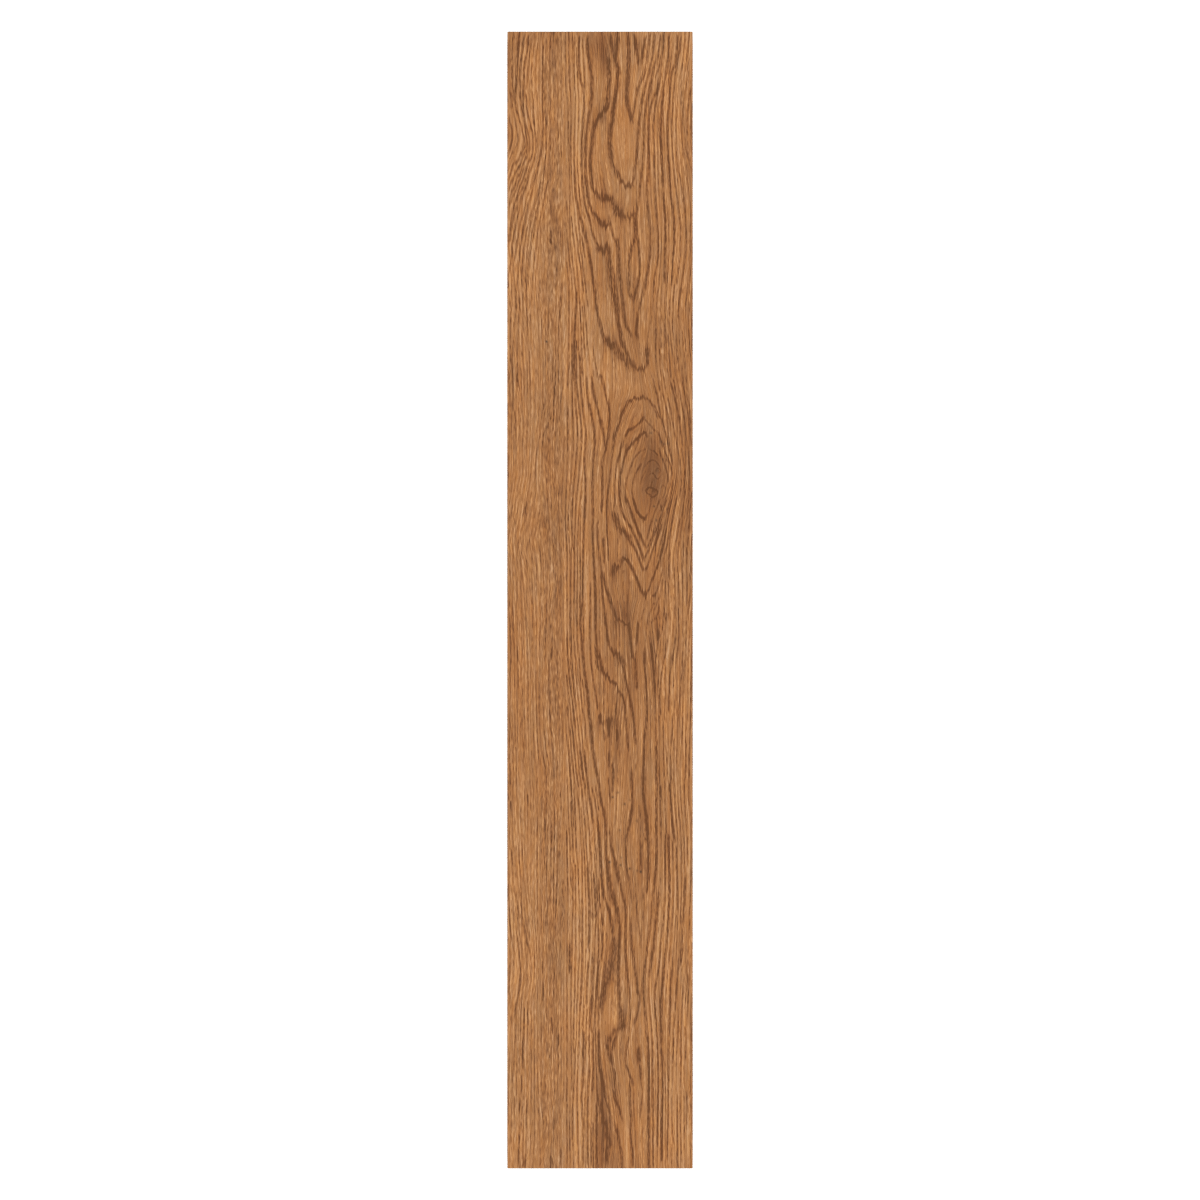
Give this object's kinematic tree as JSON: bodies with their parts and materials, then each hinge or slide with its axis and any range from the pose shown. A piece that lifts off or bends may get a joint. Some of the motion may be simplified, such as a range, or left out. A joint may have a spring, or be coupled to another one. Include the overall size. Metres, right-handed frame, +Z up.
{
  "type": "self-adhesive vinyl tile",
  "caption": "Flat rectangular vinyl floor tile in plank format, with an oak-grain printed face, square butt edges and a flat self-adhesive back for bonding to a level floor.",
  "frame": {"origin": "centre of the underside, on the adhesive back", "axes": "+Z up out of the printed face, +Y along the tile's length, +X across its width"},
  "size_m": [0.15, 0.92, 0.002],
  "materials": {
    "oak_vinyl": "matt embossed vinyl with a mid-brown oak print"
  },
  "bodies": {
    "root": {"vinyl_tile": "oak_vinyl"}
  },
  "joints": []
}
